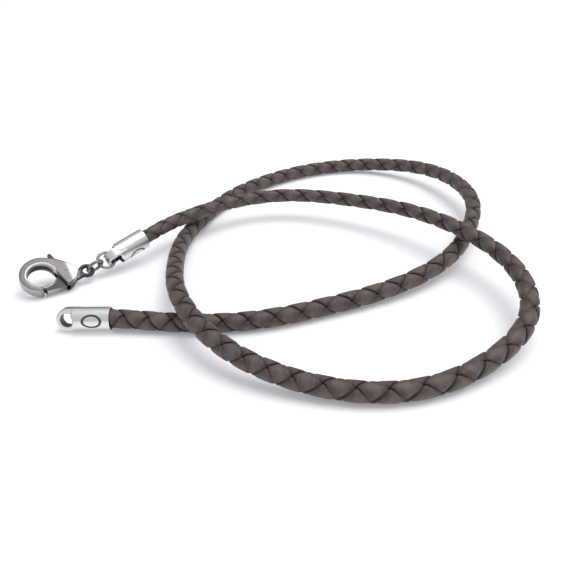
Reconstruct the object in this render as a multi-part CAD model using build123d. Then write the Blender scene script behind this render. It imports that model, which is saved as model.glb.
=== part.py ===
from build123d import *
import math
import os

# Braided leather cord necklace, laid down in two loops. Sizes are millimetres and degrees.
# The origin is on the surface, under the middle of the necklace: +X right, +Y back, +Z up.

# Cord: four flat laces braided round
CORD_DIA = 4.1
SECTIONS_PER_LEAF = 4       # flat-faced steps of a lace from one leaf of the braid to the next
CORD_SEAT = 5.5             # cord held inside each end cap
SEAT_GAP = 0.15             # between the cord's cut end and the bottom of its bore

# End caps
BORE_CLEARANCE = 0.1        # round the cord
CAP_WALL = 0.25
CAP_END_WALL = 1.9
CAP_MOUTH_ROUND = 0.08
CAP_END_ROUND = 0.35
EYE_BORE = 2.8              # hole across the cap's strap loop
EYE_RIM = 0.9               # metal round that hole
EYE_OFFSET = 0.95           # from the end of the tube to the middle of the hole
STRAP_DEPTH = 2.2           # length of the hole
STRAP_ROUND = 0.3
STAMPED_CAP_TURN = 16.0     # turn of the strap's hole about the cap, from level towards the top
CLASP_CAP_TURN = -42.0

# Plain oval groove in each cap, on the side that the strap's hole faces
STAMP_LONG = 4.0
STAMP_HIGH = 2.7
STAMP_FROM_MOUTH = 3.45
STAMP_LINE = 0.3
STAMP_DEPTH = 0.12

# Two jump rings between the clasp's cap and the clasp
RING_WIRE = 0.7
RING_DIA = 3.8              # of the wire's centre line
LINK_GAP = 0.12             # between the two rings where they hold each other
CAP_PULL = 0.21             # the wire's middle from the middle of the cap's eye, towards the clasp
EYELET_PULL = 0.29          # the same in the clasp's eyelet, towards the cap
LINK_HEADING = 222.7        # direction of the two rings from cap to clasp, in plan
LINK_DIP = 10.8             # and how steeply it falls
CAP_RING_ROLL = 48.0        # lean of each ring's plane from upright, about that direction
CLASP_RING_ROLL = -35.3

# Lobster clasp, in its own plane: x from the hook to the eyelet, y towards the thumb nub
HOOK_RADIUS = 4.6
HOOK_BORE = 2.9             # radius of the round space inside the hook
HOOK_BORE_DROP = 0.25       # that space sits lower, so that the hook thins towards its end
HOOK_END = -75.0            # direction from the hook's centre to its open end, outside
HOOK_INNER_END = -91.0      # and inside, so that the lever's tip can swing in
HOOK_THICK = 2.2
INNER_TANGENT = 42.0        # direction in which the inner edge leaves the round space
BODY_THICK = 3.0
BODY_END = (7.85, 1.5)      # where the long back edge meets the round base
BASE_END = (7.5, -0.7)
BASE_CORNER = (5.6, -3.0)
BODY_ROUND = 0.4            # along its rims
CORNER_ROUND = 0.5          # of its outline's corners
EYELET_CENTER = (9.65, 1.75)
EYELET_DIA = 2.65           # of the eyelet wire's centre line
EYELET_WIRE = 0.95
NECK_WIDTH = 1.7
NECK_THICK = 1.2
CLASP_YAW = 17.9            # turn in plan
CLASP_RISE = -9.3           # eyelet end raised
CLASP_LEAN = 27.0          # nub side raised

# Lever inside the clasp
LEVER_THICK = 1.4
LEVER_SIDE_GAP = 0.08       # each side of the lever in the body's slot
LEVER_TIP_GAP = 0.12        # between the lever and the hook's open end
LEVER_ROUND = 0.12
PIVOT = (5.3, 0.7)
RIVET_DIA = 0.9
RIVET_FIT = 0.02            # round the rivet in the body
PIVOT_FIT = 0.05            # round the rivet in the lever
RIVET_SINK = 0.08           # below each face of the body

# Outline of the slot between the clasp's two cheeks
SLOT = [
    (0.5, 4.1), (0.3, 7.5), (5.9, 7.5), (6.3, 2.9), (6.7, 0.7), (6.2, -1.6),
    (5.9, -5.0), (1.2, -5.0), (2.4, -1.2), (2.8, 0.8), (2.2, 2.8), (1.2, 3.6),
]
# Outline of the lever: heel, back of the nub, nub and neck
LEVER_BACK = [(6.1, -0.9), (6.35, 1.0), (4.4, 2.9), (2.9, 4.6), (2.0, 5.9), (1.55, 6.15)]
LEVER_FRONT = [(1.25, 5.8), (1.35, 4.6), (2.9, 2.9), (3.7, 0.9), (3.2, -0.7), (2.6, -1.9)]
LEVER_HEEL = (5.3, -2.85)

# Route of the cord's middle, from the stamped cap's bore to the bore of the clasp's cap.
# Columns: x, y, lift of the cord above the surface in cord diameters, turn of the braid,
# leaves of the braid passed.
ROUTE = [
    (-37.6, -35.4, 0.148, -24, -1.75),
    (-32.1, -35.3, 0.148, -28, -0.56),
    (-20.4, -35.9, 0.030, -37, 1.87),
    (-4.2, -35.3, 0.020, -49, 5.16),
    (11.0, -30.1, 0.040, -59, 8.11),
    (27.7, -21.9, 0.180, -65, 11.20),
    (40.3, -11.3, 0.430, -68, 13.73),
    (49.5, 4.8, 0.700, -77, 16.56),
    (53.6, 19.9, 0.910, -84, 18.98),
    (51.4, 36.1, 0.940, -90, 21.56),
    (41.9, 51.5, 0.550, -97, 24.50),
    (28.0, 57.9, 0.140, -104, 27.17),
    (11.9, 54.8, 0.025, -112, 30.06),
    (-2.5, 44.6, 0.020, -115, 32.93),
    (-13.0, 31.3, 0.015, -117, 35.78),
    (-19.5, 15.9, 0.020, -120, 38.69),
    (-22.7, -0.3, 0.190, -123, 41.49),
    (-21.9, -17.1, 0.600, -126, 44.07),
    (-18.0, -34.4, 1.060, -126, 46.91),
    (-8.6, -48.3, 0.750, -125, 50.42),
    (5.3, -55.8, 0.230, -122, 53.82),
    (23.9, -57.5, 0.040, -115, 57.17),
    (40.2, -49.7, 0.260, -109, 59.94),
    (49.5, -39.8, 0.820, -110, 62.16),
    (51.6, -22.8, 1.400, -116, 65.06),
    (44.9, -7.3, 1.650, -120, 67.93),
    (33.5, 7.4, 1.480, -119, 71.03),
    (19.5, 16.9, 1.210, -118, 73.85),
    (2.7, 21.2, 1.080, -124, 76.81),
    (-12.1, 15.8, 1.085, -138, 79.42),
    (-20.0, 8.5, 1.146, -149, 81.17),
    (-26.4, 1.9, 1.073, -158, 82.70),
    (-31.1, -4.9, 0.963, -167, 84.06),
    (-33.1, -6.65, 0.806, -170, 84.53),
    (-35.1, -8.4, 0.650, -172, 85.00),
]

# One lace's flat section: shares of half its width and half its thickness
LACE_WIDTH = 0.54 * CORD_DIA
LACE_THICK = 0.187 * CORD_DIA
LACE_SECTION = [(-1, -0.25), (-0.6, 1), (0.6, 1), (1, -0.25), (0, -1)]
# Middle of a lace from the middle of the cord, on top of a crossing, between and under
LACE_OVER = 0.363 * CORD_DIA
LACE_BETWEEN = 0.302 * CORD_DIA
LACE_UNDER = 0.100 * CORD_DIA
LACE_LAG = 0.114 * CORD_DIA  # how far it hangs back as it dives and climbs
LACE_TILT = 8.6              # its leading edge dips first

CAP_BORE = CORD_DIA + 2 * BORE_CLEARANCE
CAP_DIA = CAP_BORE + 2 * CAP_WALL
CAP_LENGTH = CORD_SEAT + SEAT_GAP + CAP_END_WALL
EYE_OUTER = EYE_BORE + 2 * EYE_RIM
EYE_HEIGHT = CAP_LENGTH + EYE_OFFSET
UP = Vector(0, 0, 1)


def route_points():
    """The route's points in space."""
    return [Vector(x, y, CORD_DIA * (0.5 + lift)) for x, y, lift, _, _ in ROUTE]


def station(leaves, points):
    """Share of the route's length and turn of the braid where so many leaves have passed."""
    runs = [(b - a).length for a, b in zip(points, points[1:])]
    i = 0
    while leaves > ROUTE[i + 1][4] and i < len(runs) - 1:
        i += 1
    part = (leaves - ROUTE[i][4]) / (ROUTE[i + 1][4] - ROUTE[i][4])
    share = (sum(runs[:i]) + part * runs[i]) / sum(runs)
    return share, ROUTE[i][3] * (1 - part) + ROUTE[i + 1][3] * part


def cord_frames(line):
    """Stations along the cord: phase of the braid, middle, sideways and upward directions, turn."""
    points = route_points()
    first = ROUTE[0][4]
    last = ROUTE[-1][4]
    steps = round((last - first) * SECTIONS_PER_LEAF)
    frames = []
    for i in range(steps + 1):
        leaves = first + (last - first) * i / steps
        share, turn = station(leaves, points)
        ahead = line.tangent_at(share)
        side = UP.cross(ahead).normalized()
        phase = math.pi * (leaves + 0.5)
        frames.append((phase, line.position_at(share), side, ahead.cross(side), math.radians(turn)))
    return frames


def lace_section(frame, hand, start):
    """Corners of one lace where it crosses a station of the cord."""
    phase, middle, side, up, turn = frame
    angle = hand * phase + start + turn
    wave = 2 * phase + (0 if hand > 0 else math.pi)
    level = (LACE_OVER + LACE_UNDER) / 2
    radius = (level + LACE_BETWEEN) / 2
    radius += (LACE_OVER - LACE_UNDER) / 2 * math.cos(wave)
    radius += (level - LACE_BETWEEN) / 2 * math.cos(2 * wave)
    tilt = math.radians(LACE_TILT) * math.sin(wave)
    out = up * math.cos(angle) + side * math.sin(angle)
    lead = (side * math.cos(angle) - up * math.sin(angle)) * hand
    across = lead * math.cos(tilt) - out * math.sin(tilt)
    through = out * math.cos(tilt) + lead * math.sin(tilt)
    center = middle + out * radius - lead * (LACE_LAG * math.sin(wave))
    return [
        center + across * (a * LACE_WIDTH / 2) + through * (b * LACE_THICK / 2)
        for a, b in LACE_SECTION
    ]


def flat_face(*corners):
    return Face(Wire.make_polygon(corners, close=True))


def lace(frames, hand, start):
    """One lace of the braid: flat-faced, from one cap's bore to the other's."""
    rings = [lace_section(frame, hand, start) for frame in frames]
    faces = [flat_face(*reversed(rings[0])), flat_face(*rings[-1])]
    count = len(LACE_SECTION)
    for near, far in zip(rings, rings[1:]):
        for i in range(count):
            j = (i + 1) % count
            faces.append(flat_face(near[i], near[j], far[j]))
            faces.append(flat_face(near[i], far[j], far[i]))
    return Solid(Shell(faces))


def end_cap():
    """Tube with a strap loop. Its mouth is at the origin, its axis +Z, the loop's hole along X."""
    from_mouth = (Align.CENTER, Align.CENTER, Align.MIN)
    across = Pos(0, 0, EYE_HEIGHT) * Rot(0, 90, 0)
    tube = Cylinder(CAP_DIA / 2, CAP_LENGTH, align=from_mouth)
    tube = fillet(tube.edges().sort_by(Axis.Z)[-1], CAP_END_ROUND)
    legs = Box(STRAP_DEPTH, EYE_OUTER, EYE_HEIGHT - CORD_SEAT - SEAT_GAP, align=(
        Align.CENTER, Align.CENTER, Align.MAX))
    strap = across * Cylinder(EYE_OUTER / 2, STRAP_DEPTH) + Pos(0, 0, EYE_HEIGHT) * legs
    strap = fillet(strap.edges().filter_by(GeomType.CIRCLE), STRAP_ROUND)
    cap = tube + strap
    cap -= Cylinder(CAP_BORE / 2, CORD_SEAT + SEAT_GAP, align=from_mouth)
    mouth = cap.edges().filter_by(GeomType.CIRCLE).sort_by(Axis.Z)[:2]
    cap = fillet(mouth, CAP_MOUTH_ROUND)
    cap -= across * Cylinder(EYE_BORE / 2, 2 * CAP_DIA)
    face = Plane(origin=(0, 0, STAMP_FROM_MOUTH), x_dir=(0, 0, 1), z_dir=(1, 0, 0))
    oval = Ellipse(STAMP_LONG / 2, STAMP_HIGH / 2)
    oval -= Ellipse(STAMP_LONG / 2 - STAMP_LINE, STAMP_HIGH / 2 - STAMP_LINE)
    groove = extrude(face * oval, CAP_DIA)
    groove -= Cylinder(CAP_DIA / 2 - STAMP_DEPTH, CAP_LENGTH, align=from_mouth)
    return cap - groove


def cap_plane(end, middle, mouth, turn):
    """Plane of a cap along its stretch of cord, with its strap hole turned up from level."""
    outward = (end - mouth).normalized()
    bow = middle - (end + mouth) * 0.5
    level = UP.cross(outward).normalized()
    steep = outward.cross(level)
    angle = math.radians(turn)
    hole = level * math.cos(angle) + steep * math.sin(angle)
    return Plane(origin=end - outward * CORD_SEAT + bow * 0.5, x_dir=hole, z_dir=outward)


def link_direction():
    """Direction in which the rings lead from the clasp's cap to the clasp."""
    heading = math.radians(LINK_HEADING)
    dip = math.radians(LINK_DIP)
    flat = math.cos(dip)
    return Vector(flat * math.cos(heading), flat * math.sin(heading), -math.sin(dip))


def jump_ring(center, roll):
    """Closed wire ring with its plane along the links, leaning by roll from upright."""
    ahead = link_direction()
    side = UP.cross(ahead).normalized()
    steep = ahead.cross(side)
    angle = math.radians(roll)
    axis = side * math.cos(angle) + steep * math.sin(angle)
    ring = Torus(RING_DIA / 2, RING_WIRE / 2)
    return Plane(origin=center, x_dir=ahead, z_dir=axis).location * ring


def polar(radius, angle, drop=0.0):
    """Point in the clasp's plane at a direction from a circle's centre."""
    a = math.radians(angle)
    return (radius * math.cos(a), radius * math.sin(a) - drop)


def slab(points, thickness):
    """Flat slab of the given outline, with its middle at z = 0."""
    return extrude(make_face(Polyline(*points, close=True)), thickness / 2, both=True)


def hook_tips():
    """Outer and inner corner of the hook's open end."""
    outer = polar(HOOK_RADIUS, HOOK_END)
    inner = polar(HOOK_BORE, HOOK_INNER_END, HOOK_BORE_DROP)
    return Vector(*outer), Vector(*inner)


def clasp_outline():
    """Hook and body in plan, without slot and eyelet."""
    hook_tip, inner_tip = hook_tips()
    edge = [
        CenterArc((0, 0), HOOK_RADIUS, 90, HOOK_END + 270),
        Line(hook_tip, BASE_CORNER),
        ThreePointArc(BASE_CORNER, BASE_END, BODY_END),
        TangentArc((0, HOOK_RADIUS), BODY_END, tangent=(1, 0)),
    ]
    past_tip = hook_tip * 2 - inner_tip
    past_corner = (BASE_CORNER[0], past_tip.Y)
    leave = polar(HOOK_BORE, INNER_TANGENT, HOOK_BORE_DROP)
    throat = make_face(Polyline((0, 0), inner_tip, past_tip, past_corner, BASE_CORNER, leave, close=True))
    outline = make_face(edge) - Pos(0, -HOOK_BORE_DROP) * Circle(HOOK_BORE) - throat
    corners = outline.vertices().sort_by(Axis.Y)[:-1]
    return fillet(corners, CORNER_ROUND)


def domed_sides():
    """Slab whose faces rise from the hook to the pivot and fall to the eyelet."""
    left = -HOOK_RADIUS
    right = 2 * PIVOT[0] + HOOK_RADIUS
    high = HOOK_THICK / 2
    profile = make_face([
        ThreePointArc((left, high), (PIVOT[0], BODY_THICK / 2), (right, high)),
        Line((right, high), (right, -high)),
        ThreePointArc((right, -high), (PIVOT[0], -BODY_THICK / 2), (left, -high)),
        Line((left, -high), (left, high)),
    ])
    return extrude(Rot(90, 0, 0) * profile, 2 * HOOK_RADIUS, both=True)


def clasp_body():
    """Hook, hollow body with the lever's slot, and eyelet."""
    body = extrude(clasp_outline(), BODY_THICK, both=True) & domed_sides()
    rims = [e for e in body.edges() if abs(e.tangent_at(0.5).Z) < 0.9]
    body = fillet(rims, BODY_ROUND)
    eyelet = Pos(*EYELET_CENTER) * Torus(EYELET_DIA / 2, EYELET_WIRE / 2)
    neck_start = Vector(*BODY_END) * 0.5 + Vector(*BASE_END) * 0.5
    neck_way = Vector(*EYELET_CENTER) - neck_start
    neck_plane = Plane(origin=neck_start, x_dir=neck_way, z_dir=(0, 0, 1))
    neck_length = neck_way.length - EYELET_DIA / 2
    neck = Box(2 * neck_length, NECK_WIDTH, NECK_THICK)
    body += eyelet + neck_plane.location * neck
    body -= slab(SLOT, LEVER_THICK + 2 * LEVER_SIDE_GAP)
    body -= Pos(*PIVOT) * Cylinder(RIVET_DIA / 2 + RIVET_FIT, 2 * BODY_THICK)
    return body


def clasp_lever():
    """Gate, hub and thumb nub in one piece."""
    hook_tip, inner_tip = hook_tips()
    off = (hook_tip - inner_tip).normalized().rotate(Axis.Z, 90) * LEVER_TIP_GAP
    outline = [hook_tip + off, LEVER_HEEL] + LEVER_BACK + LEVER_FRONT + [inner_tip + off]
    lever = slab(outline, LEVER_THICK)
    rims = [e for e in lever.edges() if abs(e.tangent_at(0.5).Z) < 0.9]
    lever = fillet(rims, LEVER_ROUND)
    return lever - Pos(*PIVOT) * Cylinder(RIVET_DIA / 2 + PIVOT_FIT, 2 * LEVER_THICK)


def lever_rivet():
    return Pos(*PIVOT) * Cylinder(RIVET_DIA / 2, BODY_THICK - 2 * RIVET_SINK)


def assembly():
    """Every piece in its place, by node name."""
    line = Spline(*route_points())
    frames = cord_frames(line)
    seat = CORD_SEAT / line.length
    stamped_plane = cap_plane(line @ 0, line @ (seat / 2), line @ seat, STAMPED_CAP_TURN)
    clasp_plane = cap_plane(line @ 1, line @ (1 - seat / 2), line @ (1 - seat), CLASP_CAP_TURN)
    ahead = link_direction()
    reach = RING_DIA / 2
    eye = clasp_plane.origin + clasp_plane.z_dir * EYE_HEIGHT
    cap_ring_center = eye + ahead * (reach + CAP_PULL)
    clasp_ring_center = cap_ring_center + ahead * (RING_DIA - RING_WIRE - LINK_GAP)
    eyelet = clasp_ring_center + ahead * (reach + EYELET_PULL)
    lie = Rot(0, 0, CLASP_YAW) * Rot(0, -CLASP_RISE, 0) * Rot(CLASP_LEAN, 0, 0)
    clasp = Pos(eyelet) * lie * Pos(-EYELET_CENTER[0], -EYELET_CENTER[1], 0)
    laces = [(1, 0), (1, math.pi), (-1, 0), (-1, math.pi)]
    nodes = {f"lace_{i + 1}": lace(frames, *way) for i, way in enumerate(laces)}
    nodes["stamped_cap"] = stamped_plane.location * end_cap()
    nodes["clasp_cap"] = clasp_plane.location * end_cap()
    nodes["cap_ring"] = jump_ring(cap_ring_center, CAP_RING_ROLL)
    nodes["clasp_ring"] = jump_ring(clasp_ring_center, CLASP_RING_ROLL)
    nodes["clasp_body"] = clasp * clasp_body()
    nodes["clasp_lever"] = clasp * clasp_lever()
    nodes["lever_rivet"] = clasp * lever_rivet()
    return nodes


def main():
    os.makedirs("parts", exist_ok=True)
    nodes = assembly()
    box = Compound(list(nodes.values())).bounding_box()
    middle = box.center()
    stand = Pos(-middle.X, -middle.Y, -box.min.Z)
    print("moved by", -middle.X, -middle.Y, -box.min.Z)
    for name, solid in nodes.items():
        export_step(stand * solid, f"parts/{name}.step")


main()
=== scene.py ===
"""Looks of a braided leather cord necklace with silver end caps and a lobster clasp.

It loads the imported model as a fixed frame, braids smooth leather laces along the cord's route,
gives the caps, rings and clasp their metals, and sets a pale studio floor, lights and a camera.
"""

import math

import bpy
import numpy as np
from bpy.props import FloatProperty, FloatVectorProperty, IntProperty, PointerProperty
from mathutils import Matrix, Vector


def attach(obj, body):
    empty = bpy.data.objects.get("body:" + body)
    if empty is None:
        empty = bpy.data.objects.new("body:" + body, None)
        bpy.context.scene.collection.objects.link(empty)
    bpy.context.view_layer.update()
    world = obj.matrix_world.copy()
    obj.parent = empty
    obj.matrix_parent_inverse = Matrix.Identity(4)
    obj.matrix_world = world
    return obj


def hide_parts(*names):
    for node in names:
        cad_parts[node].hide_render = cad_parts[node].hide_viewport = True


bl_info = {
    "name": "Braided Cord Necklace",
    "version": (1, 0, 0),
    "blender": (4, 5, 0),
    "location": "View3D > Sidebar > Necklace",
    "description": "Leather laces, end caps, rings and clasp around the packed model",
    "category": "Add Mesh",
}

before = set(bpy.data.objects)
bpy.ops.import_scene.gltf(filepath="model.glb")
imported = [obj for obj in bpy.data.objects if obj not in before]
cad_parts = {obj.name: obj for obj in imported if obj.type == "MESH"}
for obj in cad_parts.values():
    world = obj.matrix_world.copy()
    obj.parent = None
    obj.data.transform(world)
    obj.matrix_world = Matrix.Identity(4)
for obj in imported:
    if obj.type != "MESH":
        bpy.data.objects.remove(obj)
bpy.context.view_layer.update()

MM = 0.001
STAND = Vector((0.0862, -0.0768, -0.0534)) * MM   # moves the route to the middle of the frame

# Route of the cord's middle in metres. Columns: x, y, lift above the floor in cord diameters,
# turn of the braid in degrees, leaves of the braid passed
ROUTE = [
    (-0.0376, -0.0354, 0.148, -24, -1.75),
    (-0.0321, -0.0353, 0.148, -28, -0.56),
    (-0.0204, -0.0359, 0.03, -37, 1.87),
    (-0.0042, -0.0353, 0.02, -49, 5.16),
    (0.011, -0.0301, 0.04, -59, 8.11),
    (0.0277, -0.0219, 0.18, -65, 11.2),
    (0.0403, -0.0113, 0.43, -68, 13.73),
    (0.0495, 0.0048, 0.7, -77, 16.56),
    (0.0536, 0.0199, 0.91, -84, 18.98),
    (0.0514, 0.0361, 0.94, -90, 21.56),
    (0.0419, 0.0515, 0.55, -97, 24.5),
    (0.028, 0.0579, 0.14, -104, 27.17),
    (0.0119, 0.0548, 0.025, -112, 30.06),
    (-0.0025, 0.0446, 0.02, -115, 32.93),
    (-0.013, 0.0313, 0.015, -117, 35.78),
    (-0.0195, 0.0159, 0.02, -120, 38.69),
    (-0.0227, -0.0003, 0.19, -123, 41.49),
    (-0.0219, -0.0171, 0.6, -126, 44.07),
    (-0.018, -0.0344, 1.06, -126, 46.91),
    (-0.0086, -0.0483, 0.75, -125, 50.42),
    (0.0053, -0.0558, 0.23, -122, 53.82),
    (0.0239, -0.0575, 0.04, -115, 57.17),
    (0.0402, -0.0497, 0.26, -109, 59.94),
    (0.0495, -0.0398, 0.82, -110, 62.16),
    (0.0516, -0.0228, 1.4, -116, 65.06),
    (0.0449, -0.0073, 1.65, -120, 67.93),
    (0.0335, 0.0074, 1.48, -119, 71.03),
    (0.0195, 0.0169, 1.21, -118, 73.85),
    (0.0027, 0.0212, 1.08, -124, 76.81),
    (-0.0121, 0.0158, 1.085, -138, 79.42),
    (-0.02, 0.0085, 1.146, -149, 81.17),
    (-0.0264, 0.0019, 1.073, -158, 82.7),
    (-0.0311, -0.0049, 0.963, -167, 84.06),
    (-0.0331, -0.00665, 0.806, -170, 84.53),
    (-0.0351, -0.0084, 0.65, -172, 85),
]

# The cord is drawn in towards the clasp: leaves passed, share of its full diameter
DRAWN_IN = [(62, 1.0), (70, 0.91), (80, 0.88), (85, 0.85)]

# The four laces: hand of the spiral and where it starts
LACES = [(1, 0.0), (1, math.pi), (-1, 0.0), (-1, math.pi)]

# Places and directions of the metal pieces in metres, as the frame has them
STAMPED_CAP_MOUTH = (-0.0320153, -0.0353497, 0.0026195)
STAMPED_CAP_AXIS = (-0.99983, -0.0182, 0.0)
STAMPED_CAP_HOLE = (0.01749, -0.9611, 0.27564)
CLASP_CAP_MOUTH = (-0.0309907, -0.0049545, 0.0059507)
CLASP_CAP_AXIS = (-0.73133, -0.64046, -0.23447)
CLASP_CAP_HOLE = (0.60763, -0.45571, -0.65048)
EYE_HEIGHT = 0.0085         # middle of the strap's eye above the cap's mouth
EYE_RADIUS = 0.0014
STAMP_HEIGHT = 0.00345      # middle of the oval groove above the mouth
STAMP_HALF = (0.0020, 0.00135)
STAMP_LINE = 0.0003
CLASP_ORIGIN = (-0.0511675, -0.0196982, 0.0033691)      # the hook's centre
CLASP_ALONG = (0.93909, 0.30332, -0.1616)               # from there to the eyelet's end
CLASP_FACE = (0.27656, -0.38776, 0.87929)
HOOK_BORE = 0.0029          # radius of the round space inside the hook
HOOK_BORE_DROP = 0.00025    # how much lower than the hook's centre it sits
EYELET_CENTER = (0.00965, 0.00175)
GATE_TIP = (0.0013, -0.00445)       # on the lever's outer edge
GATE_OUT = (0.3195, -0.9476)        # square to that edge, outwards

# Where the masks of the metals begin and end, in metres
STAMP_FACE = (0.001, 0.0014)        # out from the cap's middle, on the stamped side
# The next two bound the painted shade inside a cap's mouth
MOUTH_BORE = (0.00222, 0.00216)     # out from the cap's axis
MOUTH_DEPTH = (0.0005, 0.0002)      # into the cap
# The next six bound the painted shade in the clasp's hook, slot and eyelet
HOOK_INSIDE = (0.00008, 0.00002)    # past the hook's round space
HOOK_MIDDLE = (0.00085, 0.0005)     # from the clasp's middle plane
SLOT_SIDES = (0.00082, 0.00074)     # from the clasp's middle plane
SLOT_START = (0.0, 0.0003)          # past the hook's round space
SLOT_ALONG = (0.0, 0.0006)          # from the hook's centre
EYELET_BORE = (0.0011, 0.0009)      # from the eyelet's centre
# The rest bound the painted highlights on the clasp's rims, base end and lever edge
INNER_RIM = (0.00055, 0.00022)      # past the hook's round space
INNER_RIM_START = (-0.0001, 0.0001)
INNER_RIM_FACES = (0.0006, 0.0009)  # from the clasp's middle plane
OUTER_RIM = (0.0042, 0.0046)        # from the hook's centre
OUTER_RIM_ALONG = (0.0015, -0.0005)
BASE_START = (0.0056, 0.0072)
BASE_END = (0.0082, 0.0078)
BASE_FACES = (0.0004, 0.001)
BASE_SLANT = 0.35                   # how far the base's near end leans
GATE_EDGE = (-0.00030, -0.00012)    # out from the lever's outer edge
GATE_START = (0.0011, 0.0015)
GATE_END = (0.0060, 0.0054)
GATE_SIDES = (0.0008, 0.00074)


def color_prop(name, description, default):
    return FloatVectorProperty(
        name=name, description=description, default=default, size=3, min=0, max=1, subtype="COLOR"
    )


class NecklaceCord(bpy.types.PropertyGroup):
    """Sizes of the braid."""

    diameter: FloatProperty(
        name="Diameter", description="Outside of the braid", default=0.0041, unit="LENGTH"
    )
    lace_width: FloatProperty(
        name="Lace width", description="Angle round the cord that a lace covers",
        default=math.radians(168), subtype="ANGLE",
    )
    lace_thickness: FloatProperty(
        name="Lace thickness", description="Share of the diameter", default=0.195
    )
    sections: IntProperty(name="Sections", description="Sections of a lace in one leaf", default=32)
    corners: IntProperty(name="Corners", description="Points round a lace's section", default=24)


class NecklaceLeather(bpy.types.PropertyGroup):
    """Colours of the leather."""

    face: color_prop("Face", "Broad faces of the laces", (0.048, 0.030, 0.026))
    # The lighter colour: lighter fibres and wear, and also the painted highlight along each lace's
    # crown
    wear_and_highlight: color_prop("Worn", "Rubbed crowns and lighter fibres", (0.130, 0.095, 0.081))
    # The dark colour: the laces' cut edges, and painted shade in the grooves between laces
    edge: color_prop("Edge", "Cut edges, and the grooves between laces", (0.021, 0.013, 0.012))
    grain: FloatProperty(
        name="Grain", description="Depth of the creases", default=0.5, min=0, max=1
    )


class NecklaceMetal(bpy.types.PropertyGroup):
    """Colours of the metals."""

    silver: color_prop("Silver", "End caps", (0.74, 0.73, 0.70))
    # The dark cap colour: the tarnished oval groove, and painted shade in the strap holes and
    # mouths
    tarnish_and_shade: color_prop("Tarnish", "Darkened hollows of the caps", (0.10, 0.10, 0.105))
    pewter: color_prop("Pewter", "Clasp", (0.150, 0.141, 0.137))
    ring: color_prop("Ring pewter", "Jump rings, brighter from wear", (0.40, 0.385, 0.375))
    # The bright clasp colour: painted highlights on the clasp's rims
    rim_highlight_color: color_prop("Rubbed pewter", "Rims of the clasp, tumbled bright", (0.78, 0.76, 0.74))
    # The dark clasp colour: painted shade in the clasp's hollows, and cloudy darkening on the rings
    smoke_and_shade: color_prop("Smoke", "Darkened hollows of clasp and rings", (0.055, 0.053, 0.058))


class NecklaceStage(bpy.types.PropertyGroup):
    """Floor, lights and camera."""

    floor: color_prop("Floor", "Pale floor", (0.93, 0.93, 0.94))
    key: FloatProperty(name="Key light", description="Strength of the main lamp", default=1.5)
    key_size: FloatProperty(
        name="Key size", description="Angle that the main lamp fills", default=0.85, subtype="ANGLE"
    )
    fill: FloatProperty(name="Fill light", description="Strength of the surroundings", default=0.80)
    glow: FloatProperty(
        name="Floor glow", description="Light that comes through the floor", default=0.17
    )
    lens: FloatProperty(name="Lens", description="Focal length", default=40.21, unit="CAMERA")
    tilt: FloatProperty(
        name="Tilt", description="Camera's turn from straight down", default=math.radians(60.2),
        subtype="ANGLE",
    )
    place: FloatVectorProperty(
        name="Place", description="Camera's place", default=(0.00313, -0.14371, 0.07203),
        subtype="TRANSLATION", unit="LENGTH",
    )


class NecklaceSettings(bpy.types.PropertyGroup):
    """Everything that a user would change."""

    cord: PointerProperty(type=NecklaceCord)
    leather: PointerProperty(type=NecklaceLeather)
    metal: PointerProperty(type=NecklaceMetal)
    stage: PointerProperty(type=NecklaceStage)


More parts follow.
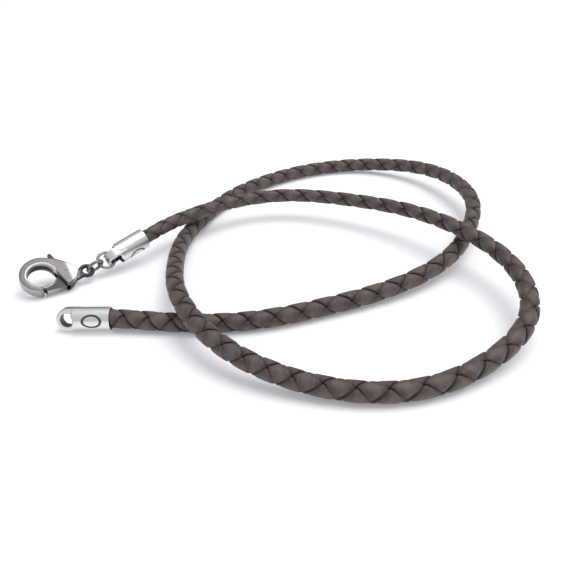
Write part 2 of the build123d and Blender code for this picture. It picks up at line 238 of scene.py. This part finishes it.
class Shade:
    """A value or colour in a material; arithmetic on it adds the nodes that work it out."""

    def __init__(self, tree, output=None):
        self.tree = tree
        self.output = output

    def node(self, kind, settings, inputs, output=0):
        """Adds a node: its settings first, then the values or links of its sockets."""
        made = self.tree.nodes.new(kind)
        for name, value in settings.items():
            if name == "stops":
                self.set_stops(made.color_ramp, value)
            else:
                setattr(made, name, value)
        for name, value in inputs.items():
            if isinstance(value, Shade):
                self.tree.links.new(value.output, made.inputs[name])
            else:
                made.inputs[name].default_value = value
        return Shade(self.tree, made.outputs[output])

    @staticmethod
    def set_stops(ramp, stops):
        """Places and grey levels of a ramp's stops."""
        while len(ramp.elements) < len(stops):
            ramp.elements.new(0.5)
        for element, (place, level) in zip(ramp.elements, stops):
            element.position = place
            element.color = (level, level, level, 1)

    def math(self, operation, first, second=0.0):
        return self.node("ShaderNodeMath", {"operation": operation}, {0: first, 1: second})

    def __add__(self, other):
        return self.math("ADD", self, other)

    def __sub__(self, other):
        return self.math("SUBTRACT", self, other)

    def __rsub__(self, other):
        return self.math("SUBTRACT", other, self)

    def __mul__(self, other):
        return self.math("MULTIPLY", self, other)

    def __truediv__(self, other):
        return self.math("DIVIDE", self, other)

    def __pow__(self, other):
        return self.math("POWER", self, other)

    __radd__ = __add__
    __rmul__ = __mul__

    def absolute(self):
        return self.math("ABSOLUTE", self)

    def ramp(self, low, high):
        """0 below low, 1 above high, smooth between; low above high turns it round."""
        if low > high:
            return 1 - self.ramp(high, low)
        settings = {"interpolation_type": "SMOOTHSTEP"}
        sockets = {"Value": self, "From Min": low, "From Max": high}
        return self.node("ShaderNodeMapRange", settings, sockets)

    def mix(self, first, second):
        """The first colour where this is 0, the second where it is 1."""
        colors = [c if isinstance(c, Shade) else (*c, 1) for c in (first, second)]
        sockets = {0: self, 6: colors[0], 7: colors[1]}
        return self.node("ShaderNodeMix", {"data_type": "RGBA"}, sockets, 2)

    def vector(self, operation, other, output=0):
        """Vector arithmetic with another vector."""
        sockets = {0: self, 1: other}
        return self.node("ShaderNodeVectorMath", {"operation": operation}, sockets, output)

    def measured(self, origin, axis):
        """How far this point lies from the origin along the axis."""
        unit = Vector(axis).normalized()
        return self.vector("SUBTRACT", tuple(origin)).vector("DOT_PRODUCT", tuple(unit), "Value")

    def noise(self, scale, detail=3.0, roughness=0.5, distortion=0.0):
        """Cloudy noise at this point, 0 to 1."""
        sockets = {
            "Vector": self, "Scale": scale, "Detail": detail, "Roughness": roughness,
            "Distortion": distortion,
        }
        return self.node("ShaderNodeTexNoise", {}, sockets)


def new_material(name):
    """A material with its shader, and a shade to build on."""
    material = bpy.data.materials.new(name)
    material.use_nodes = True
    tree = material.node_tree
    return material, tree.nodes["Principled BSDF"], Shade(tree)


def feed(shader, inputs):
    """Sets or links the shader's sockets."""
    for name, value in inputs.items():
        socket = shader.inputs[name]
        if isinstance(value, Shade):
            value.tree.links.new(value.output, socket)
        else:
            socket.default_value = value


def bump(height, depth):
    """A normal from a height of 0 to 1 that stands for a real depth."""
    sockets = {"Strength": 1.0, "Distance": depth, "Height": height}
    return height.node("ShaderNodeBump", {}, sockets)


def set_material(piece, material):
    """Gives a piece one material all over."""
    piece.data.materials.clear()
    piece.data.materials.append(material)


STRIPE_SCALE = (9.0, 0.9, 1.0)      # along the lace, across it, from lace to lace
CREASE_DEPTH = 0.00011


def braid_leather(look):
    """Brown leather lace: striped across, lighter on its crown from wear and a painted highlight,
    dark at its edges from its cut edges and painted shade in the grooves.
    """
    material, shader, shade = new_material("braid_leather")
    run = shade.node("ShaderNodeAttribute", {"attribute_name": "lace_run"}, {}, "Vector")
    across = run.node("ShaderNodeSeparateXYZ", {}, {"Vector": run}, "Y").absolute()
    stripes = run.vector("MULTIPLY", STRIPE_SCALE).noise(1.0, 4.0, 0.6, 0.4)
    fibres = run.noise(22.0, 3.0, 0.6)
    patches = run.noise(0.55, 2.0, 0.5)
    # Painted highlight: every lace is made lighter along its middle
    crown = across.ramp(0.95, 0.1)
    # Dark cut edges, and painted shade in the grooves beside them
    edge = across.ramp(0.82, 1.0)
    wear_and_highlight = (crown * 0.30 + stripes * 0.75 + patches * 0.55 - 0.50).ramp(0.0, 0.75)
    feed(shader, {
        "Base Color": edge.mix(wear_and_highlight.mix(look.face, look.wear_and_highlight), look.edge),
        "Roughness": 0.46 + fibres * 0.22,
        "Specular IOR Level": 0.5,
        "Sheen Weight": 0.15,
        "Normal": bump(stripes * 0.7 + fibres * 0.3, CREASE_DEPTH * look.grain),
    })
    return material


# Sizes of the metals' unevenness, in lumps a metre, and its depth in metres
CLOUD_SCALE = 420.0
PIT_SCALE = 2600.0
WAVE_SCALE = 260.0
DENT_DEPTH = 0.00005


def worn_metal(name, bright, dark, hollows, rough, wear, rims=None, rim_highlight_color=None):
    """Cast metal, darkened where its hollows mask says, with tarnished grooves and painted shade,
    clouded with stains, and given painted highlights on its rims.
    """
    material, shader, shade = new_material(name)
    point = shade.node("ShaderNodeTexCoord", {}, {}, "Object")
    clouds = point.noise(CLOUD_SCALE, 3.0, 0.55)
    pits = point.noise(PIT_SCALE, 3.0, 0.6)
    wave = point.noise(WAVE_SCALE, 1.0, 0.4)
    mask = hollows(point) if hollows else clouds * 0.7
    # Darkening from the hollows mask, which holds tarnished grooves and painted shade, and from
    # cloudy stains
    stain_and_shade = (mask + (clouds - 0.5) * wear).ramp(0.05, 0.95)
    color = stain_and_shade.mix(bright, dark)
    # Painted highlights on the rims
    if rims:
        color = rims(point).mix(color, rim_highlight_color)
    feed(shader, {
        "Base Color": color,
        "Metallic": 1.0,
        "Roughness": rough + clouds * 0.16 + mask * 0.15,
        "Normal": bump(wave * 0.8 + pits * 0.12 + clouds * 0.1, DENT_DEPTH),
    })
    return material


def length(first, second):
    """Length of a flat vector whose two parts are shades."""
    return (first * first + second * second) ** 0.5


def cap_hollows(point, mouth, axis, hole):
    """The oval groove of a cap, tarnished dark, and painted shade in the hole of its strap and the
    bore at its mouth.
    """
    along = point.measured(mouth, axis)
    wide = point.measured(mouth, Vector(axis).cross(Vector(hole)))
    out = point.measured(mouth, hole)
    oval = length((along - STAMP_HEIGHT) / STAMP_HALF[0], wide / STAMP_HALF[1])
    line = STAMP_LINE / STAMP_HALF[1]
    groove = (oval - (1 - line / 2)).absolute().ramp(line * 0.85, line * 0.35)
    # Painted shade on the inner wall of the strap's hole
    eye = length(along - EYE_HEIGHT, wide).ramp(EYE_RADIUS * 1.10, EYE_RADIUS * 0.99)
    # Painted shade in the bore at the mouth
    bore = length(out, wide).ramp(*MOUTH_BORE) * along.ramp(*MOUTH_DEPTH)
    return groove * out.ramp(*STAMP_FACE) + eye + bore


def stamped_hollows(point):
    return cap_hollows(point, STAMPED_CAP_MOUTH, STAMPED_CAP_AXIS, STAMPED_CAP_HOLE)


def clasp_cap_hollows(point):
    return cap_hollows(point, CLASP_CAP_MOUTH, CLASP_CAP_AXIS, CLASP_CAP_HOLE)


def clasp_place(point):
    """Where a point lies on the clasp: along it, across it, off its middle plane, and past the
    hook's round space."""
    across = Vector(CLASP_FACE).cross(Vector(CLASP_ALONG))
    x = point.measured(CLASP_ORIGIN, CLASP_ALONG)
    y = point.measured(CLASP_ORIGIN, across)
    z = point.measured(CLASP_ORIGIN, CLASP_FACE).absolute()
    return x, y, z, length(x, y + HOOK_BORE_DROP) - HOOK_BORE


def clasp_hollows(point):
    """Painted shade in the inside of the hook, the slot between the clasp's cheeks and the eyelet's
    hole.
    """
    x, y, z, past = clasp_place(point)
    inside = past.ramp(*HOOK_INSIDE) * z.ramp(*HOOK_MIDDLE)
    slot = z.ramp(*SLOT_SIDES) * past.ramp(*SLOT_START) * x.ramp(*SLOT_ALONG)
    eyelet = length(x - EYELET_CENTER[0], y - EYELET_CENTER[1]).ramp(*EYELET_BORE)
    return inside * 0.8 + slot * 0.75 + eyelet * 0.8


def clasp_rims(point):
    """Painted highlights on the hook's inner and outer rims, the base's round end and the lever's
    outer edge.
    """
    x, y, z, past = clasp_place(point)
    inner = past.ramp(*INNER_RIM) * z.ramp(*INNER_RIM_FACES) * past.ramp(*INNER_RIM_START)
    outer = length(x, y).ramp(*OUTER_RIM) * x.ramp(*OUTER_RIM_ALONG)
    base = (x + y * BASE_SLANT).ramp(*BASE_START) * x.ramp(*BASE_END) * z.ramp(*BASE_FACES)
    outside = (x - GATE_TIP[0]) * GATE_OUT[0] + (y - GATE_TIP[1]) * GATE_OUT[1]
    gate = outside.ramp(*GATE_EDGE) * x.ramp(*GATE_START) * z.ramp(*GATE_SIDES)
    return inner * 0.9 + outer * 0.45 + base * 0.9 + gate * x.ramp(*GATE_END) * 0.6


ROUTE_STEPS = 6000


def smooth_line(points):
    """Smooth line through the points, as places at many even steps of its length."""
    runs = np.linalg.norm(np.diff(points, axis=0), axis=1)
    knots = np.concatenate([[0], np.cumsum(runs)])
    count = len(points)
    system = np.zeros((count, count))
    right = np.zeros((count, 3))
    for i in range(1, count - 1):
        before, after = runs[i - 1], runs[i]
        system[i, i - 1:i + 2] = before, 2 * (before + after), after
        right[i] = 6 * ((points[i + 1] - points[i]) / after - (points[i] - points[i - 1]) / before)
    system[0, :3] = runs[1], -(runs[0] + runs[1]), runs[0]
    system[-1, -3:] = runs[-1], -(runs[-2] + runs[-1]), runs[-2]
    bends = np.linalg.solve(system, right)
    fine = np.linspace(0, knots[-1], ROUTE_STEPS)
    i = np.clip(np.searchsorted(knots, fine, side="right") - 1, 0, count - 2)
    run = runs[i][:, None]
    far = (fine - knots[i])[:, None] / run
    near = 1 - far
    curve = near * points[i] + far * points[i + 1]
    curve += run ** 2 / 6 * ((near ** 3 - near) * bends[i] + (far ** 3 - far) * bends[i + 1])
    return curve


def cord_stations(cord):
    """What a lace needs at even steps of the braid: distance, middle, sideways and upward
    directions, turn, phase and diameter."""
    route = np.array(ROUTE)
    points = route[:, :3].copy()
    points[:, 2] = cord.diameter * (0.5 + route[:, 2])
    curve = smooth_line(points)
    steps = np.linalg.norm(np.diff(curve, axis=0), axis=1)
    run = np.concatenate([[0], np.cumsum(steps)])
    corners = np.concatenate([[0], np.cumsum(np.linalg.norm(np.diff(points, axis=0), axis=1))])
    passed = route[:, 4]
    count = round((passed[-1] - passed[0]) * cord.sections) + 1
    leaves = np.linspace(passed[0], passed[-1], count)
    distance = np.interp(leaves, passed, corners / corners[-1]) * run[-1]
    middle = np.stack([np.interp(distance, run, curve[:, k]) for k in range(3)], axis=1)
    ahead = np.gradient(middle, axis=0)
    ahead /= np.linalg.norm(ahead, axis=1)[:, None]
    side = np.cross((0, 0, 1), ahead)
    side /= np.linalg.norm(side, axis=1)[:, None]
    up = np.cross(ahead, side)
    turn = np.radians(np.interp(leaves, passed, route[:, 3]))
    phase = np.pi * (leaves + 0.5)
    drawn = np.interp(leaves, *np.array(DRAWN_IN).T)
    return distance, middle + np.array(STAND), side, up, turn, phase, cord.diameter * drawn


LACE_OVER = 0.385           # a lace's middle from the cord's, on top of a crossing, in diameters
LACE_UNDER = 0.200          # and under one
LACE_DIVE = 0.28            # how gently it dives: 0 is a step
LACE_SQUARE = 4.5           # squareness of its section: 2 is an ellipse, more is flatter
LACE_APART = 7.0            # between the grains of two laces, in the grain's own units


def lace_mesh(name, stations, cord, hand, start):
    """One lace: a soft strip round the cord, over a lace of the other hand and under the next."""
    distance, middle, side, up, turn, phase, size = stations
    theta = np.linspace(0, 2 * np.pi, cord.corners, endpoint=False)
    wide = np.cos(theta)
    outer = np.sign(np.round(np.sin(theta), 6))
    high = outer * (1 - np.abs(wide) ** LACE_SQUARE) ** (1 / LACE_SQUARE)
    offset = (wide * cord.lace_width / 2)[None, :]
    wave = 2 * phase[:, None] + hand * offset + (0 if hand > 0 else np.pi)
    lift = np.cos(wave) / np.sqrt(np.cos(wave) ** 2 + LACE_DIVE ** 2) * math.hypot(1, LACE_DIVE)
    center = (LACE_OVER + LACE_UNDER) / 2 + (LACE_OVER - LACE_UNDER) / 2 * lift
    radius = size[:, None] * (center + cord.lace_thickness / 2 * high[None, :])
    angle = (hand * phase + start + turn)[:, None] + offset
    points = middle[:, None] + up[:, None] * (radius * np.cos(angle))[..., None]
    points += side[:, None] * (radius * np.sin(angle))[..., None]

    rows, corners = len(distance), cord.corners
    grid = np.arange(rows * corners).reshape(rows, corners)
    following = np.roll(grid, -1, axis=1)
    quads = np.stack([grid[:-1], grid[1:], following[1:], following[:-1]], axis=-1)
    faces = quads.reshape(-1, 4).tolist() + [grid[0].tolist(), grid[-1].tolist()[::-1]]
    mesh = bpy.data.meshes.new(name)
    mesh.from_pydata(points.reshape(-1, 3).tolist(), [], faces)
    mesh.shade_smooth()
    run = np.zeros((rows, corners, 3), np.float32)
    run[..., 0] = (distance / cord.diameter)[:, None]
    run[..., 1] = wide[None, :]
    run[..., 2] = LACE_APART * LACES.index((hand, start)) + high[None, :]
    attribute = mesh.attributes.new("lace_run", "FLOAT_VECTOR", "POINT")
    attribute.data.foreach_set("vector", run.ravel())
    mesh.update()
    return mesh


def add_piece(name, mesh, body):
    """Puts a mesh in the scene, riding on a body of the frame."""
    piece = bpy.data.objects.new(name, mesh)
    bpy.context.scene.collection.objects.link(piece)
    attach(piece, body)
    return piece


class NECKLACE_OT_braid(bpy.types.Operator):
    """Braid the four leather laces along the cord's route"""

    bl_idname = "necklace.braid"
    bl_label = "Leather braid"

    def execute(self, context):
        settings = context.scene.necklace
        stations = cord_stations(settings.cord)
        material = braid_leather(settings.leather)
        for number, (hand, start) in enumerate(LACES, 1):
            mesh = lace_mesh(f"braid_lace_{number}", stations, settings.cord, hand, start)
            piece = add_piece(f"braid_lace_{number}", mesh, "necklace")
            set_material(piece, material)
            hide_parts(f"lace_{number}")
        return {"FINISHED"}


# Roughness of each metal, and how strongly its stains spread
CAP_ROUGH, CAP_WEAR = 0.22, 0.15
CLASP_ROUGH, CLASP_WEAR = 0.28, 0.35
RING_ROUGH, RING_WEAR = 0.22, 0.5


class NECKLACE_OT_caps(bpy.types.Operator):
    """Give both end caps their antique silver"""

    bl_idname = "necklace.caps"
    bl_label = "End caps"

    def execute(self, context):
        metal = context.scene.necklace.metal
        caps = {"stamped_cap": stamped_hollows, "clasp_cap": clasp_cap_hollows}
        for name, hollows in caps.items():
            look = (metal.silver, metal.tarnish_and_shade, hollows)
            material = worn_metal(name + "_silver", *look, CAP_ROUGH, CAP_WEAR)
            set_material(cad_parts[name], material)
        return {"FINISHED"}


class NECKLACE_OT_clasp(bpy.types.Operator):
    """Give the rings, the clasp, its lever and its rivet their dark pewter"""

    bl_idname = "necklace.clasp"
    bl_label = "Rings and clasp"

    def execute(self, context):
        metal = context.scene.necklace.metal
        # The clasp gets painted shade in its hollows and painted highlights on its rims
        body = worn_metal(
            "clasp_pewter", metal.pewter, metal.smoke_and_shade, clasp_hollows, CLASP_ROUGH, CLASP_WEAR,
            clasp_rims, metal.rim_highlight_color,
        )
        plain = worn_metal("ring_pewter", metal.ring, metal.smoke_and_shade, None, RING_ROUGH, RING_WEAR)
        for name in ("clasp_body", "clasp_lever", "lever_rivet"):
            set_material(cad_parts[name], body)
        for name in ("cap_ring", "clasp_ring"):
            set_material(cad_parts[name], plain)
        return {"FINISHED"}


FLOOR_HALF = 3.0
FLOOR_CLOUDS = 0.985                   # how much darker its faint clouds are
KEY_DIRECTION = (0.32, 0.12, 1.0)     # from the necklace towards the main lamp
KEY_COLOR = (1.0, 0.985, 0.96)
SKY_COLOR = (0.93, 0.95, 1.0)
FRONT_COLOR = (0.80, 0.79, 0.77)       # low in the room, in front of the necklace
BACK_COLOR = (0.27, 0.28, 0.31)        # and behind it
ROOM_DEPTH = (-0.35, 0.45)             # from front to back, as a direction's part
ROOM_HEIGHT = (0.25, 0.88)             # from the horizon's colours to the sky's
GLOW_COLOR = (0.90, 0.93, 1.0)


class NECKLACE_OT_stage(bpy.types.Operator):
    """Set the pale floor, the lights and the camera"""

    bl_idname = "necklace.stage"
    bl_label = "Stage"

    def execute(self, context):
        stage = context.scene.necklace.stage
        self.add_floor(stage)
        self.add_lights(context.scene, stage)
        self.add_camera(context.scene, stage)
        return {"FINISHED"}

    @staticmethod
    def add_floor(stage):
        half = FLOOR_HALF
        mesh = bpy.data.meshes.new("studio_floor")
        corners = [(-half, -half, 0), (half, -half, 0), (half, half, 0), (-half, half, 0)]
        mesh.from_pydata(corners, [], [(0, 1, 2, 3)])
        floor = bpy.data.objects.new("studio_floor", mesh)
        bpy.context.scene.collection.objects.link(floor)
        material, shader, shade = new_material("pale_floor")
        point = shade.node("ShaderNodeTexCoord", {}, {}, "Object")
        clouds = point.noise(9.0, 2.0, 0.5)
        cloudy = tuple(FLOOR_CLOUDS * c for c in stage.floor)
        color = clouds.mix(tuple(stage.floor), cloudy)
        feed(shader, {
            "Base Color": color,
            "Roughness": 0.55,
            "Specular IOR Level": 0.2,
            "Emission Color": (*GLOW_COLOR, 1),
            "Emission Strength": stage.glow,
        })
        set_material(floor, material)

    @staticmethod
    def add_lights(scene, stage):
        lamp = bpy.data.lights.new("key_light", "SUN")
        lamp.energy = stage.key
        lamp.angle = stage.key_size
        lamp.color = KEY_COLOR
        key = bpy.data.objects.new("key_light", lamp)
        key.rotation_euler = Vector(KEY_DIRECTION).to_track_quat("Z", "Y").to_euler()
        scene.collection.objects.link(key)
        world = bpy.data.worlds.new("studio_room")
        world.use_nodes = True
        room = world.node_tree.nodes["Background"]
        shade = Shade(world.node_tree)
        way = shade.node("ShaderNodeTexCoord", {}, {}, "Generated")
        high = way.node("ShaderNodeSeparateXYZ", {}, {"Vector": way}, "Z")
        back = way.node("ShaderNodeSeparateXYZ", {}, {"Vector": way}, "Y")
        horizon = back.ramp(*ROOM_DEPTH).mix(FRONT_COLOR, BACK_COLOR)
        light = high.ramp(*ROOM_HEIGHT).mix(horizon, SKY_COLOR)
        world.node_tree.links.new(light.output, room.inputs["Color"])
        room.inputs["Strength"].default_value = stage.fill
        scene.world = world

    @staticmethod
    def add_camera(scene, stage):
        camera = bpy.data.objects.new("camera", bpy.data.cameras.new("camera"))
        camera.data.lens = stage.lens
        camera.location = stage.place
        camera.rotation_euler = (stage.tilt, 0, 0)
        camera.data.clip_start = 0.005
        camera.data.clip_end = 10
        scene.collection.objects.link(camera)
        scene.camera = camera
        scene.view_settings.view_transform = "Standard"


class NECKLACE_PT_panel(bpy.types.Panel):
    """Lists the necklace's pieces and their settings"""

    bl_idname = "NECKLACE_PT_panel"
    bl_label = "Braided cord necklace"
    bl_space_type = "VIEW_3D"
    bl_region_type = "UI"
    bl_category = "Necklace"

    def draw(self, context):
        settings = context.scene.necklace
        for group, button in (
            (settings.cord, "necklace.braid"),
            (settings.leather, None),
            (settings.metal, "necklace.caps"),
            (None, "necklace.clasp"),
            (settings.stage, "necklace.stage"),
        ):
            box = self.layout.box()
            if group:
                for name in group.__annotations__:
                    box.prop(group, name)
            if button:
                box.operator(button)


CLASSES = (
    NecklaceCord, NecklaceLeather, NecklaceMetal, NecklaceStage, NecklaceSettings,
    NECKLACE_OT_braid, NECKLACE_OT_caps, NECKLACE_OT_clasp, NECKLACE_OT_stage, NECKLACE_PT_panel,
)


def register():
    for cls in CLASSES:
        bpy.utils.register_class(cls)
    bpy.types.Scene.necklace = PointerProperty(type=NecklaceSettings)


def unregister():
    del bpy.types.Scene.necklace
    for cls in reversed(CLASSES):
        bpy.utils.unregister_class(cls)


def main():
    """Builds every piece in order."""
    register()
    bpy.ops.necklace.braid()
    bpy.ops.necklace.caps()
    bpy.ops.necklace.clasp()
    bpy.ops.necklace.stage()


if __name__ == "__main__":
    main()
